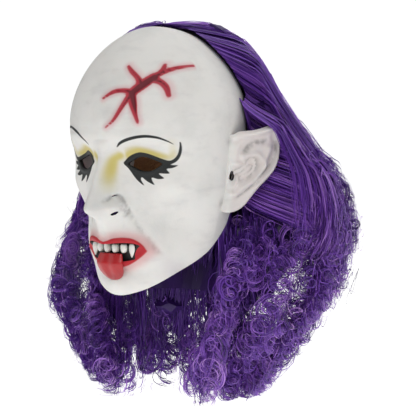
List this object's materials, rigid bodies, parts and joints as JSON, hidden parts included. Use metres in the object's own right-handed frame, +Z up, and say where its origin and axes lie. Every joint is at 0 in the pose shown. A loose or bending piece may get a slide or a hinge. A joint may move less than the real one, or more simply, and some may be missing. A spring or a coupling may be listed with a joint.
{
  "type": "vampire elf mask with wig",
  "caption": "Full-face latex monster mask with pointed ears, fangs, a hanging tongue and long curly purple hair on a net cap.",
  "frame": {"origin": "inside the crown of the latex, where the top of the wearer's head sits", "axes": "+Z up, -Y the way the face looks, +X the wearer's left"},
  "size_m": [0.3122, 0.2927, 0.3613],
  "materials": {
    "latex": "off-white matt latex with painted make-up",
    "tongue_latex": "glossy red painted latex",
    "tooth": "satin white",
    "net": "black stretch net",
    "hair_fibre": "shiny purple synthetic fibre"
  },
  "bodies": {
    "root": {"face_shell": "latex", "tongue": "tongue_latex", "central_incisor_left": "tooth", "central_incisor_right": "tooth", "lateral_incisor_left": "tooth", "lateral_incisor_right": "tooth", "fang_left": "tooth", "fang_right": "tooth", "wig_cap": "net", "hair": "hair_fibre"}
  },
  "joints": []
}
